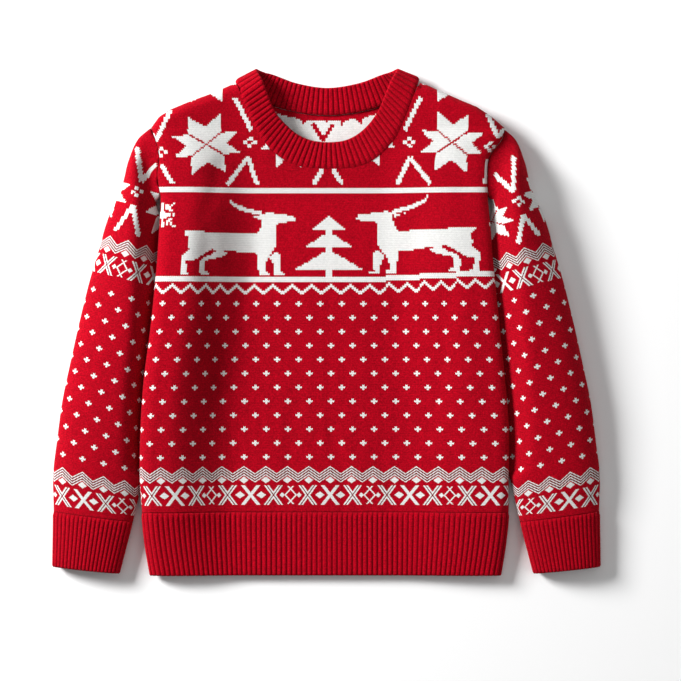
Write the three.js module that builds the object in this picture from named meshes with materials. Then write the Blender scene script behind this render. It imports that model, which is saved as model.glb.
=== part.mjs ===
// A child's knitted Christmas sweater with a round ribbed neck, laid flat on a surface, face up, with the
// inner edge of each sleeve tucked under the side of the body. Millimetres. X runs across the garment,
// Y from hem to neck and Z up from the surface, which is at Z = 0, under the middle of the outline.
import * as THREE from "three";

// Driving dimensions.
const WALL = 2.4; // jacquard knit, two yarns thick
const RIB_WALL = 2.1; // hem and cuffs between their ribs
const BAND_WALL = 3.6; // the neckband is folded double
const SEAM = 0.3; // gap between pieces that are sewn to each other
const ARMHOLE_SEAM = 1.2; // the same at the armhole, where the two walls meet at an angle
const HEM_BOTTOM = -252.5;
const HEM_TOP = -189.5;
const SHOULDER_POINT = 193.5;
const LYING_TOP = 7.6; // height of the front where it lies on the back
const NECK_TOP = 13.5; // how much higher the front lies at the shoulders
const SIDE_ROLL = { left: 15, right: 13 }; // width of the round fold at the body's side
const SHOULDER_ROLL = 11;
const SIDE_FOLLOWS = 0.35; // share of the width that follows each side in and out
const CLEAR = 3; // air between the tucked sleeve and the back panel that lies on it
const RIB = { hem: 5.05, cuff: 4.1, neck: 5.0, height: 0.9 }; // widths of one rib, and how proud it stands

// The body from hem to shoulder: where its sides lie, how much higher than the middle it stands along them,
// and how thick the tucked sleeve under it is.
const BODY = [
  { y: -252.5, left: -175.5, right: 173.5, leftRise: 6, rightRise: 5, under: 0 },
  { y: -221, left: -180.5, right: 178.5, leftRise: 10, rightRise: 7, under: 0 },
  { y: -189.5, left: -183.5, right: 181.5, leftRise: 16, rightRise: 10, under: 0 },
  { y: -157.5, left: -185.5, right: 181.5, leftRise: 20, rightRise: 12, under: 7 },
  { y: -107.5, left: -184.5, right: 181.5, leftRise: 26, rightRise: 16, under: 11 },
  { y: -57.5, left: -181, right: 177.5, leftRise: 29, rightRise: 18, under: 13 },
  { y: -7.5, left: -174.5, right: 172.5, leftRise: 30, rightRise: 19, under: 15 },
  { y: 52.5, left: -168.5, right: 166.3, leftRise: 28, rightRise: 19, under: 15 },
  { y: 87.5, left: -166.2, right: 163.5, leftRise: 26, rightRise: 19, under: 14 },
  { y: 122.5, left: -164.5, right: 160.5, leftRise: 22, rightRise: 18, under: 12 },
  { y: 146.5, left: -167.5, right: 159.5, leftRise: 18, rightRise: 16, under: 8 },
  { y: 164.5, left: -165.8, right: 161.9, leftRise: 14, rightRise: 13, under: 4 },
  { y: 182.5, left: -170, right: 174.5, leftRise: 10, rightRise: 10, under: 1 },
  { y: 193.5, left: -174.5, right: 177.3, leftRise: 7, rightRise: 7, under: 0 },
];
const UNDERARM = 126; // level where the armhole seams meet the side seams
const PARTED = { share: 0.5, reach: 9 }; // how far front and back stand apart round the open armhole
const RISE_WIDTH = { left: [26, 94], right: [26, 112] }; // where the raised side starts and ends to fall
const TUCK_SLOPE = 34; // how far the back panel takes to come down to the surface beside a tucked sleeve

// The top edge of each panel from the left shoulder point to the right one. Round marks the shoulders, where
// the panel rolls over to meet the other one, and the rest is the neck seam.
const FRONT_TOP = [
  { x: -174.5, y: 193.5, round: 1 },
  { x: -166.5, y: 204.5, round: 1 },
  { x: -154.5, y: 212.0, round: 1 },
  { x: -136.5, y: 219.5, round: 1 },
  { x: -112.5, y: 228.5, round: 1 },
  { x: -96.0, y: 236.0, round: 1 },
  { x: -89.5, y: 238.5, round: 1 },
  { x: -84.5, y: 224.5, round: 0 },
  { x: -77.5, y: 208.5, round: 0 },
  { x: -69.5, y: 191.5, round: 0 },
  { x: -58.0, y: 174.5, round: 0 },
  { x: -42.0, y: 161.5, round: 0 },
  { x: -23.5, y: 154.5, round: 0 },
  { x: 1.0, y: 152.8, round: 0 },
  { x: 26.0, y: 154.0, round: 0 },
  { x: 45.0, y: 160.5, round: 0 },
  { x: 59.5, y: 172.5, round: 0 },
  { x: 70.5, y: 186.5, round: 0 },
  { x: 79.5, y: 206.0, round: 0 },
  { x: 86.5, y: 225.0, round: 0 },
  { x: 93, y: 238.5, round: 1 },
  { x: 99.5, y: 236.5, round: 1 },
  { x: 112.5, y: 230.5, round: 1 },
  { x: 132.5, y: 221.5, round: 1 },
  { x: 149.5, y: 214.5, round: 1 },
  { x: 164.5, y: 204.5, round: 1 },
  { x: 177.3, y: 193.5, round: 1 },
];
const BACK_NECK = [
  { x: -84.5, y: 233.5 },
  { x: -66, y: 221.5 },
  { x: -36.5, y: 211 },
  { x: 1.0, y: 206.5 },
  { x: 38.5, y: 211 },
  { x: 68, y: 221.5 },
  { x: 86.5, y: 235 },
];

// The neckband, round from the fold at the left shoulder: its sewn edge, its free edge, and the height of
// its middle layer. Facing is 1 where the band lies face up, on the front, and 0 where it lies on the surface.
const NECKBAND = [
  { seamX: -90.0, seamY: 239.0, rimX: -68.0, rimY: 250.4, z: 11, facing: 0.5 },
  { seamX: -84.7, seamY: 224.8, rimX: -63.2, rimY: 240.5, z: 19.6, facing: 1 },
  { seamX: -77.5, seamY: 208.5, rimX: -56.5, rimY: 222.5, z: 18.4, facing: 1 },
  { seamX: -69.5, seamY: 191.5, rimX: -50.0, rimY: 208.5, z: 16, facing: 1 },
  { seamX: -58.0, seamY: 174.8, rimX: -40.5, rimY: 197.5, z: 13, facing: 1 },
  { seamX: -42.0, seamY: 161.8, rimX: -28.5, rimY: 187.5, z: 10.8, facing: 1 },
  { seamX: -23.5, seamY: 154.8, rimX: -14.0, rimY: 181.5, z: 9.6, facing: 1 },
  { seamX: 1.0, seamY: 153.1, rimX: 1.5, rimY: 179.8, z: 9.2, facing: 1 },
  { seamX: 26.0, seamY: 154.3, rimX: 18.0, rimY: 181.5, z: 9.6, facing: 1 },
  { seamX: 45.0, seamY: 160.8, rimX: 31.5, rimY: 188.0, z: 10.8, facing: 1 },
  { seamX: 59.5, seamY: 172.8, rimX: 42.5, rimY: 198.0, z: 13, facing: 1 },
  { seamX: 70.5, seamY: 186.8, rimX: 51.5, rimY: 211.0, z: 15.4, facing: 1 },
  { seamX: 79.5, seamY: 206.3, rimX: 58.2, rimY: 226.5, z: 18.2, facing: 1 },
  { seamX: 86.7, seamY: 225.3, rimX: 64.0, rimY: 241.0, z: 19.6, facing: 1 },
  { seamX: 92.0, seamY: 241.0, rimX: 69.0, rimY: 250.4, z: 11, facing: 0.5 },
  { seamX: 86.5, seamY: 235.5, rimX: 62.0, rimY: 249.6, z: 3.2, facing: 0 },
  { seamX: 68.0, seamY: 221.8, rimX: 53.5, rimY: 247.0, z: 2.9, facing: 0 },
  { seamX: 38.5, seamY: 211.3, rimX: 31.5, rimY: 239.0, z: 2.9, facing: 0 },
  { seamX: 1.0, seamY: 206.8, rimX: 1.0, rimY: 234.5, z: 2.9, facing: 0 },
  { seamX: -36.5, seamY: 211.3, rimX: -29.0, rimY: 239.0, z: 2.9, facing: 0 },
  { seamX: -66.0, seamY: 221.8, rimX: -51.5, rimY: 247.0, z: 2.9, facing: 0 },
  { seamX: -84.5, seamY: 233.8, rimX: -61.0, rimY: 249.6, z: 3.2, facing: 0 },
];

// A sleeve by how far down its outer fold lies below the shoulder point: how far out that fold is, how much
// the knitted rows slope down towards the body in degrees, the width laid flat, the height of its arch, and
// the height of its two folds. The last two rows are the ends of the cuff.
const SLEEVE = [
  { drop: 0, out: 0, slope: 80, width: 70, height: 24, fold: 12 },
  { drop: 11, out: 12.5, slope: 69, width: 75.5, height: 32, fold: 13 },
  { drop: 31, out: 21.5, slope: 59.5, width: 87.5, height: 37, fold: 14 },
  { drop: 61, out: 29.5, slope: 47.5, width: 98, height: 40, fold: 14 },
  { drop: 91, out: 42.5, slope: 38, width: 107, height: 40, fold: 14 },
  { drop: 121, out: 51.5, slope: 33, width: 110, height: 39, fold: 14 },
  { drop: 151, out: 60.5, slope: 29, width: 110, height: 38, fold: 13.5 },
  { drop: 191, out: 70.5, slope: 25, width: 106, height: 36, fold: 13 },
  { drop: 231, out: 79.5, slope: 21, width: 101, height: 34, fold: 12.5 },
  { drop: 271, out: 88, slope: 17, width: 97, height: 32, fold: 12 },
  { drop: 311, out: 93.5, slope: 14, width: 92, height: 29, fold: 11 },
  { drop: 345, out: 97.5, slope: 11.5, width: 88, height: 26, fold: 10.5 },
  { drop: 382, out: 97, slope: 7.5, width: 79.5, height: 22, fold: 9.5 },
  { drop: 437, out: 97.8, slope: 6, width: 66.5, height: 19, fold: 8.5 },
];
const SLEEVE_DROPS = [0, 4, 9, 14, 24, 40, 64, 91, 121, 151, 191, 231, 271, 311, 346, 382 - SEAM];
const SHOULDER_OUT = 174.7;
const WRIST_DROP = 382;
const CUFF_DROP = 437;
const BOW_FADES = 30; // how far down the sleeve its rows stay bent like the armhole seam
const SET_OUT = { left: 6.5, right: 5 }; // how far the sleeve leads out of the armhole before it turns down
const CAP_RISES = { outer: 34, inner: 9 }; // drop over which the sleeve leaves the armhole's height, at each fold
const SLEEVE_NEAR_BODY = 0.95; // slope of the sleeve's top down to the body's side
const BESIDE_BODY = 4; // how far outside the body's side that slope starts
const TUCKED_FOLD = 5.5; // height of the inner fold under the body
const TUCK_ENDS = 350; // how far down the sleeve its inner fold comes out from under the body
const TUCK_HEIGHT = 7.5; // least height of the sleeve under the body
const PRESSED = 1.3; // how much thinner the knit is pressed at the underarms and the shoulder points

// A column of a table at any place between its rows, on a smooth curve through them.
function read(table, key, column, place) {
  const last = table.length - 1;
  const sign = Math.sign(table[last][key] - table[0][key]);
  let i = 0;
  while (i < last - 1 && sign * (place - table[i + 1][key]) > 0) i++;
  const slope = (a, b) => (table[b][column] - table[a][column]) / (table[b][key] - table[a][key]);
  const step = table[i + 1][key] - table[i][key];
  const t = THREE.MathUtils.clamp((place - table[i][key]) / step, 0, 1);
  const m0 = slope(Math.max(i - 1, 0), i + 1) * step;
  const m1 = slope(i, Math.min(i + 2, last)) * step;
  const from = table[i][column];
  const rise = table[i + 1][column] - from;
  return from + m0 * t + (3 * rise - 2 * m0 - m1) * t * t + (m0 + m1 - 2 * rise) * t * t * t;
}

// The same on straight lines between the rows.
function readStraight(table, key, column, place) {
  const i = Math.max(1, table.findIndex((row) => row[key] >= place));
  const [a, b] = [table[i - 1], table[i]];
  return THREE.MathUtils.mapLinear(place, a[key], b[key], a[column], b[column]);
}

const smooth = (low, high, x) => THREE.MathUtils.smoothstep(x, low, high);
const mix = THREE.MathUtils.lerp;
const softMin = (a, b, reach) => Math.min(a, b) - Math.max(reach - Math.abs(a - b), 0) ** 2 / (4 * reach);
const sideEdge = (side, y) => read(BODY, "y", side, Math.min(y, SHOULDER_POINT));
const outward = (side) => (side === "left" ? -1 : 1);

// Where a sleeve's inner fold lies under the body, by level, from the sleeve's own rows.
const innerFolds = Object.fromEntries(
  ["left", "right"].map((side) => [
    side,
    SLEEVE.map((row, i) => {
      const turn = THREE.MathUtils.degToRad(row.slope);
      if (i === 0) return { x: sideEdge(side, UNDERARM), y: UNDERARM };
      return {
        x: outward(side) * (SHOULDER_OUT + row.out - row.width * Math.cos(turn)),
        y: SHOULDER_POINT - row.drop - row.width * Math.sin(turn),
      };
    }),
  ]),
);

// The underside of the back panel: on the surface in the middle, and up over the tucked sleeves.
function backHeight(x, y) {
  const side = x < 0 ? "left" : "right";
  const folds = innerFolds[side];
  const level = THREE.MathUtils.clamp(y, folds.at(-1).y, folds[0].y);
  const inside = outward(side) * (read(folds, "y", "x", level) - x);
  const under = Math.max(0, read(BODY, "y", "under", Math.min(y, SHOULDER_POINT)));
  return under * (1 - smooth(-6, TUCK_SLOPE, inside));
}

// The upper face of the front panel, away from its rolled edges.
function frontHeight(x, y) {
  const level = Math.min(y, SHOULDER_POINT);
  const rise = (side) => {
    const inside = Math.abs(sideEdge(side, level) - x);
    return read(BODY, "y", side + "Rise", level) * (1 - smooth(...RISE_WIDTH[side], inside));
  };
  return LYING_TOP + NECK_TOP * smooth(120, 232, y) + rise("left") + rise("right");
}

const edgeHeight = (x, y) => (frontHeight(x, y) + backHeight(x, y)) / 2;

// How far a face has risen from the edge's middle height, 0 at the fold and 1 inside the rolled strip.
function roll(inside, width) {
  return Math.sqrt(Math.max(0, 1 - Math.max(0, 1 - inside / width) ** 2));
}

// Height of the front's or the back's outer face, given how far the sides and shoulders have rolled over.
function faceHeight(face, x, y, risen) {
  const full = face === "front" ? frontHeight(x, y) : backHeight(x, y);
  const edge = edgeHeight(x, y) + (face === "front" ? SEAM : -SEAM) / 2;
  return mix(edge, full, risen);
}

const partedAt = (y) => PARTED.share * roll(Math.max(0, Math.min(y - UNDERARM, SHOULDER_POINT - y)), PARTED.reach);

// A point of a panel's outer face. Across runs from one side to the other as a share of the width at the
// shoulder points, and only the outer parts follow the sides in and out. RisenAbove is 1 except at a rolled
// shoulder.
const SHOULDERS = { left: sideEdge("left", SHOULDER_POINT), right: sideEdge("right", SHOULDER_POINT) };
const straightX = (across) => mix(SHOULDERS.left, SHOULDERS.right, across);
const shareOf = (x) => (x - SHOULDERS.left) / (SHOULDERS.right - SHOULDERS.left);

function panelPoint(face, across, y, risenAbove) {
  const [left, right] = [sideEdge("left", y), sideEdge("right", y)];
  const followLeft = (left - SHOULDERS.left) * (1 - smooth(0, SIDE_FOLLOWS, across));
  const followRight = (right - SHOULDERS.right) * smooth(1 - SIDE_FOLLOWS, 1, across);
  const x = straightX(across) + followLeft + followRight;
  const atSide = Math.min(roll(x - left, SIDE_ROLL.left), roll(right - x, SIDE_ROLL.right));
  const parted = partedAt(y);
  const risen = (parted + (1 - parted) * atSide) * risenAbove;
  return new THREE.Vector3(x, y, faceHeight(face, x, y, risen));
}

// Shares of the width for a panel's columns: close together round each side's roll, even between.
function panelColumns(rollSteps, middleSteps) {
  const [a, b] = [shareOf(SHOULDERS.left + SIDE_ROLL.left), 1 - shareOf(SHOULDERS.right - SIDE_ROLL.right)];
  const turn = (i) => 1 - Math.cos((i / rollSteps) * (Math.PI / 2));
  const steps = [...Array(rollSteps + 1).keys()];
  const middle = [...Array(middleSteps - 1).keys()].map((i) => mix(a, 1 - b, (i + 1) / middleSteps));
  return [
    ...steps.map((i) => a * turn(i)),
    ...middle,
    ...steps.map((i) => 1 - b * turn(rollSteps - i)),
  ];
}

// A closed wall from rows of outer points: the inner face lies one thickness inside the outer one, along the
// normal. Raise gives how far a point stands out of the outer face, and bare of the inner one. Ends thins the
// wall towards a rounded edge, lean lets a normal tip up (1) or keeps it level (0), flip turns the normals
// over, for faces that look down, outwards gives the normals where the rows are too uneven to work them out
// from, and a loop joins the last column to the first.
function wall({ rows, thickness, flip = false, loop = false, outwards, ...shape }) {
  const { raise = () => 0, bare = () => 0, ends = () => 1, lean = () => 1 } = shape;
  const [along, wide] = [rows.length, rows[0].length];
  const at = (i, j) => rows[i][loop ? (j + wide) % wide : THREE.MathUtils.clamp(j, 0, wide - 1)];
  const outer = [];
  const inner = [];
  for (let i = 0; i < along; i++) {
    for (let j = 0; j < wide; j++) {
      const u = at(i, j + 1).clone().sub(at(i, j - 1));
      const v = at(Math.min(i + 1, along - 1), j).clone().sub(at(Math.max(i - 1, 0), j));
      const across = u.cross(v).multiplyScalar(flip ? -1 : 1);
      const normal = outwards ? outwards[i][j] : across.setZ(across.z * lean(i, j)).normalize();
      const thin = (thickness * (1 - ends(i, j))) / 2;
      outer.push(at(i, j).clone().addScaledVector(normal, raise(i, j) - thin));
      inner.push(at(i, j).clone().addScaledVector(normal, thin - thickness - bare(i, j)));
    }
  }
  const count = outer.length;
  const index = [];
  const quad = (a, b, c, d) => index.push(...(flip ? [a, c, b, a, d, c] : [a, b, c, a, c, d]));
  const columns = loop ? wide : wide - 1;
  for (let i = 0; i < along - 1; i++) {
    for (let j = 0; j < columns; j++) {
      const [a, b] = [i * wide + j, i * wide + ((j + 1) % wide)];
      quad(a, b, b + wide, a + wide);
      quad(count + a, count + a + wide, count + b + wide, count + b);
    }
  }
  for (let j = 0; j < columns; j++) {
    const [a, b] = [j, (j + 1) % wide];
    const [c, d] = [(along - 1) * wide + a, (along - 1) * wide + b];
    quad(count + a, count + b, b, a);
    quad(c, d, count + d, count + c);
  }
  if (!loop) {
    for (let i = 0; i < along - 1; i++) {
      const [a, b] = [i * wide, (i + 1) * wide];
      quad(a, b, count + b, count + a);
      quad(count + a + wide - 1, count + b + wide - 1, b + wide - 1, a + wide - 1);
    }
  }
  const geometry = new THREE.BufferGeometry();
  geometry.setFromPoints([...outer, ...inner]);
  geometry.setIndex(index);
  geometry.computeVertexNormals();
  return geometry;
}

// Positions along a strip of ribs, as shares of it. Each rib has a groove, a rise and a fall, so raised says
// for each position whether it is on top of the rib.
function ribColumns(count) {
  const shares = [];
  const raised = [];
  for (let rib = 0; rib < count; rib++) {
    for (const [place, up] of [[0, 0], [0.3, 1], [0.7, 1]]) {
      shares.push((rib + place) / count);
      raised.push(up);
    }
  }
  return { shares, raised };
}

// Turns shares of a curve's length into its own parameter.
function byLength(pointAt, samples = 400) {
  const length = [0];
  for (let i = 1; i <= samples; i++) {
    length.push(length[i - 1] + pointAt(i / samples).distanceTo(pointAt((i - 1) / samples)));
  }
  return {
    total: length[samples],
    param(share) {
      const wanted = share * length[samples];
      const i = Math.max(1, length.findIndex((l) => l >= wanted));
      return THREE.MathUtils.mapLinear(wanted, length[i - 1], length[i], i - 1, i) / samples;
    },
  };
}

const red = new THREE.Color(0.55, 0.012, 0.035);
const knit = (roughness) => new THREE.MeshStandardMaterial({ color: red, roughness, metalness: 0 });
const sweater = new THREE.Group();

function addPiece(name, geometry, roughness = 0.9) {
  const mesh = new THREE.Mesh(geometry, knit(roughness));
  mesh.name = name;
  sweater.add(mesh);
}

// Rows of a panel as shares of its height, with some close together where the armhole starts.
const PANEL_LEVELS = {
  front: [0, 0.08, 0.16, 0.25, 0.34, 0.43, 0.52, 0.61, 0.7, 0.78, 0.848, 0.872, 0.9, 0.93, 0.965, 1],
  back: [0, 0.08, 0.16, 0.25, 0.34, 0.43, 0.52, 0.61, 0.655, 0.7, 0.74, 0.78, 0.848, 0.872, 0.9, 0.93, 0.965, 1],
};
const ROLL_LEVELS = 4;
const SHOULDER_TIPS = [FRONT_TOP[0], FRONT_TOP.at(-1)];
const WIDEST_COLUMN = 0.06; // share of the width; wider ones are halved

// Front and back panels. A row runs from side to side, and the rows close up towards a rolled shoulder.
function panelRows(face, columns, levels) {
  const top = (x) => {
    const [from, to] = [BACK_NECK[0], BACK_NECK.at(-1)];
    if (face === "back" && x >= from.x && x <= to.x) return read(BACK_NECK, "x", "y", x);
    return readStraight(FRONT_TOP, "x", "y", x);
  };
  const bottom = HEM_TOP + SEAM;
  const turns = [...Array(ROLL_LEVELS).keys()].map((i) => ((i + 1) / ROLL_LEVELS) * (Math.PI / 2));
  const rowAt = (level, turn) =>
    columns.map((across) => {
      const x = straightX(across);
      const [edge, round] = [top(x), readStraight(FRONT_TOP, "x", "round", x)];
      const y = mix(bottom, edge - SHOULDER_ROLL, level) + SHOULDER_ROLL * Math.sin(turn);
      return panelPoint(face, across, y, mix(1, Math.cos(turn), round));
    });
  return [...levels.map((level) => rowAt(level, 0)), ...turns.map((turn) => rowAt(1, turn))];
}

function addPanels() {
  const sides = panelColumns(4, 2).filter((across) => across < 0.1 || across > 0.9);
  const shoulders = FRONT_TOP.slice(2, -2).filter((row) => row.round);
  const necks = { front: FRONT_TOP.filter((row) => !row.round), back: BACK_NECK };
  for (const face of ["front", "back"]) {
    const corners = [...shoulders, ...necks[face]].map((row) => shareOf(row.x));
    const coarse = [...sides, ...corners].sort((a, b) => a - b);
    const halved = (share, i) => (share - coarse[i - 1] > WIDEST_COLUMN ? [mix(coarse[i - 1], share, 0.5), share] : share);
    const columns = coarse.flatMap(halved);
    const rows = panelRows(face, columns, PANEL_LEVELS[face]);
    const lean = (i, j) => {
      const point = rows[i][j];
      const shoulder = i === rows.length - 1 && readStraight(FRONT_TOP, "x", "round", point.x) > 0.5;
      const side = j === 0 || j === columns.length - 1;
      return shoulder ? 0 : side ? Math.min(1, partedAt(point.y) / 0.4) : 1;
    };
    const toTip = ({ x, y }) => Math.min(...SHOULDER_TIPS.map((tip) => Math.hypot(x - tip.x, y - tip.y)));
    const bare = (i, j) => -PRESSED * (1 - smooth(6, 18, toTip(rows[i][j])));
    addPiece(face + "_panel", wall({ rows, thickness: WALL, flip: face === "back", lean, bare }));
  }
}

// Hem ribs. The back one rests on the surface, so its outer face is plain.
function addHems() {
  const hemPoint = (face) => (across) => panelPoint(face, across, (HEM_BOTTOM + HEM_TOP) / 2, 1);
  const spread = (face) => (turn) => {
    const middle = 0.5 - 0.5 * Math.cos(turn * Math.PI);
    return hemPoint(face)(middle);
  };
  const curve = byLength(spread("front"));
  const { shares, raised } = ribColumns(Math.round(curve.total / RIB.hem));
  const columns = [...shares, 1].map((share) => 0.5 - 0.5 * Math.cos(curve.param(share) * Math.PI));
  const levels = [0, 0.06, 1];
  const rowsOf = (face, across) =>
    levels.map((level) => across.map((a) => panelPoint(face, a, mix(HEM_BOTTOM, HEM_TOP - SEAM, level), 1)));
  const raise = (i, j) => RIB.height * (raised[j] ?? 0);
  const ends = (i) => (i === 0 ? 0.45 : 1);
  const upright = (list) => (i, j) => (j === 0 || j === list.length - 1 ? 0 : 1);
  const front = { rows: rowsOf("front", columns), raise, ends, lean: upright(columns) };
  addPiece("hem_rib_front", wall({ thickness: RIB_WALL, ...front }));
  const plain = panelColumns(4, 14);
  const back = { rows: rowsOf("back", plain), flip: true, lean: upright(plain) };
  addPiece("hem_rib_back", wall({ thickness: RIB_WALL, ...back }));
}

// The way out of a sleeve's section at a place round it: upright above and below, and level at the folds,
// where it points along the row outside and square to the fold inside. Next to the armhole it is nearly
// upright all round.
function sleeveOutward(side, round, drop) {
  const turn = round * 2 * Math.PI;
  const out = outward(side);
  const level = Math.cos(turn);
  if (level > 0) {
    const slope = THREE.MathUtils.degToRad(read(SLEEVE, "drop", "slope", drop));
    return new THREE.Vector3(out * level * Math.cos(slope), level * Math.sin(slope), Math.sin(turn));
  }
  const along = sleevePoint(side, 0.5, Math.max(0, drop - 1)).sub(sleevePoint(side, 0.5, drop + 1));
  const square = new THREE.Vector3(along.y, -along.x, 0).normalize();
  const leans = mix(0.1, 1, smooth(0, 22, drop));
  return square.multiplyScalar(out * level * leans).setZ(Math.sin(turn)).normalize();
}

// A point of a sleeve's outer face. Round runs from the outer fold (0) over the top to the inner fold (0.5)
// and back under the sleeve, and drop is how far down the outer fold it is.
function sleevePoint(side, round, drop) {
  const out = outward(side);
  const turn = round * 2 * Math.PI;
  const across = (1 - Math.cos(turn)) / 2;
  const column = (name) => read(SLEEVE, "drop", name, drop);
  const slope = THREE.MathUtils.degToRad(column("slope"));
  const rowAt = (share, level, tipX) => ({
    x: out * (tipX + column("out") - share * column("width") * Math.cos(slope)),
    y: level - share * column("width") * Math.sin(slope),
  });
  const plain = rowAt(across, SHOULDER_POINT - drop, SHOULDER_OUT);
  const seamY = mix(SHOULDER_POINT, UNDERARM, across);
  const seam = { x: sideEdge(side, seamY) + out * ARMHOLE_SEAM, y: seamY };
  const first = SLEEVE[0];
  const firstTurn = THREE.MathUtils.degToRad(first.slope);
  const start = {
    x: out * (SHOULDER_OUT - across * first.width * Math.cos(firstTurn)),
    y: SHOULDER_POINT - across * first.width * Math.sin(firstTurn),
  };
  const bent = Math.max(0, 1 - drop / BOW_FADES) ** 2;
  const away = SET_OUT[side] * across * smooth(0, 6, drop) * (1 - smooth(60, 140, drop));
  const x = plain.x + (seam.x - start.x) * bent + out * away;
  const y = plain.y + (seam.y - start.y) * bent;

  const upper = Math.sin(turn) >= 0;
  const arch = Math.abs(Math.sin(turn));
  const beside = out * (x - sideEdge(side, y));
  const cover = roll(Math.max(0, BESIDE_BODY - beside), SIDE_ROLL[side]);
  const slopeUp = SLEEVE_NEAR_BODY * Math.max(0, beside - BESIDE_BODY);
  const free = smooth(TUCK_ENDS - 30, TUCK_ENDS, drop);
  const lid = mix(Math.max(faceHeight("back", x, y, cover) - CLEAR, TUCK_HEIGHT) + slopeUp, 2 * column("height"), free);
  const tucked = (1 - smooth(-6, 10, beside)) * (1 - free);
  const fold = mix(column("fold"), Math.min(TUCKED_FOLD, lid), tucked);
  const flatShare = Math.sin((Math.min(1, arch / 0.75) * Math.PI) / 2);
  const under = fold * (1 - flatShare);
  const over = softMin(mix(fold, column("height"), arch), Math.max(lid, fold * 0.9), 5);
  const lying = upper ? (drop < WRIST_DROP ? over : mix(fold, column("height"), arch)) : under;
  const parted = partedAt(seamY);
  const atSeam = faceHeight(upper ? "front" : "back", seam.x, seamY, parted);
  const risen = smooth(0, mix(CAP_RISES.outer, CAP_RISES.inner, across), drop);
  const height = mix(atSeam, lying, risen);
  const below = (TUCK_HEIGHT * (1 - THREE.MathUtils.clamp(3 * Math.sin(turn), -1, 1))) / 2;
  const beneath = (1 - smooth(UNDERARM - 5, UNDERARM + 1, y)) * (1 - smooth(-3, 3, beside));
  return new THREE.Vector3(x, y, mix(height, Math.min(height, lid - below), beneath));
}

function addTube(name, side, rounds, drops, shape) {
  const rowsOf = (at) => drops.map((drop) => rounds.map((round) => at(side, round, drop)));
  const tube = { rows: rowsOf(sleevePoint), outwards: rowsOf(sleeveOutward), loop: true, flip: side === "left" };
  addPiece(name + side, wall({ ...tube, ...shape }));
}

function addSleeve(side) {
  const even = (count, from, to) => [...Array(count).keys()].map((i) => mix(from, to, i / count));
  const round = even(24, 0, 1);
  const atInnerFold = (j) => smooth(0.4, 0.65, 1 - Math.abs(1 - 2 * round[j]));
  const bare = (i, j) => -PRESSED * atInnerFold(j) * (1 - smooth(30, 55, SLEEVE_DROPS[i]));
  addTube("sleeve_", side, round, SLEEVE_DROPS, { thickness: WALL, bare });

  const overTop = byLength((share) => sleevePoint(side, share / 2, (WRIST_DROP + CUFF_DROP) / 2));
  const { shares, raised } = ribColumns(Math.round(overTop.total / RIB.cuff));
  const rounds = [...shares.map((share) => overTop.param(share) / 2), ...even(10, 0.5, 1)];
  addTube("cuff_", side, rounds, [WRIST_DROP, mix(WRIST_DROP, CUFF_DROP, 0.94), CUFF_DROP], {
    thickness: RIB_WALL,
    raise: (i, j) => RIB.height * (raised[j] ?? 0),
    ends: (i) => (i === 2 ? 0.45 : 1),
  });
}

// The neckband: a loop of ribs from the sewn edge to the free edge, ribbed on both faces, but plain where it
// lies on the surface.
function addNeckband() {
  const points = (x, y) => NECKBAND.map((row) => new THREE.Vector3(row[x], row[y], row.z));
  const loopThrough = (list) => new THREE.CatmullRomCurve3(list, true, "catmullrom", 0.5);
  const [seam, rim] = [loopThrough(points("seamX", "seamY")), loopThrough(points("rimX", "rimY"))];
  const facing = loopThrough(NECKBAND.map((row) => new THREE.Vector3(row.facing, 0, 0)));
  const middle = byLength((t) => seam.getPoint(t).lerp(rim.getPoint(t), 0.5));
  const { shares, raised } = ribColumns(Math.round(middle.total / RIB.neck));
  const turns = shares.map((share) => middle.param(share));
  const levels = [0.08, 0.9, 1];
  const rows = levels.map((level) => turns.map((t) => seam.getPoint(t).lerp(rim.getPoint(t), level)));
  const centred = rows.map((row) => row.map((p) => p.clone()));
  const faceUp = turns.map((t) => THREE.MathUtils.clamp(facing.getPoint(t).x, 0, 1));
  const raise = (i, j) => BAND_WALL / 2 + RIB.height * raised[j] * (faceUp[j] > 0.25 ? 1 : 0);
  const bare = (i, j) => RIB.height * raised[j] * Math.abs(2 * faceUp[j] - 1) - BAND_WALL / 2;
  const ends = (i) => (i === 2 ? 0.4 : 1);
  addPiece("neckband", wall({ rows: centred, thickness: BAND_WALL, loop: true, raise, bare, ends }));
}

addPanels();
addHems();
addSleeve("left");
addSleeve("right");
addNeckband();

export default sweater;
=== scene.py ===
import math

import bpy
import numpy as np
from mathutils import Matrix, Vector
from mathutils.bvhtree import BVHTree


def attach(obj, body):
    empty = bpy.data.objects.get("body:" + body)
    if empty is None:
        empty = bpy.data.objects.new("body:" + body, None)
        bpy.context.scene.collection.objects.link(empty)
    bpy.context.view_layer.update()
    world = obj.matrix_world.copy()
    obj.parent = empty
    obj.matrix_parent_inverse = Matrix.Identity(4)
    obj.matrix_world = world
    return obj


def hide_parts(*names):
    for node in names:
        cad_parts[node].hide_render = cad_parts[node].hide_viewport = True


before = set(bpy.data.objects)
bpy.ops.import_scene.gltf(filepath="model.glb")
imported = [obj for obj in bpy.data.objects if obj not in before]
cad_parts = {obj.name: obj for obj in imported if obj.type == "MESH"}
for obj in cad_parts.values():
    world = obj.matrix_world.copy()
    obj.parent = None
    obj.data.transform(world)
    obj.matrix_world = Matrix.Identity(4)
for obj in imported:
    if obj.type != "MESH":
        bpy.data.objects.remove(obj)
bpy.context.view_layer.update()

# The photograph looks straight down on the sweater, which lies on a pale surface. A long lens keeps the raised
# sides from spreading. Soft light comes low from the left and a little from the top, with weak fill.
WIDTH_SEEN = 0.681
MIDDLE_SEEN = (0.014, -0.018)
LENS, FILM = 135.0, 36.0

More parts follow.
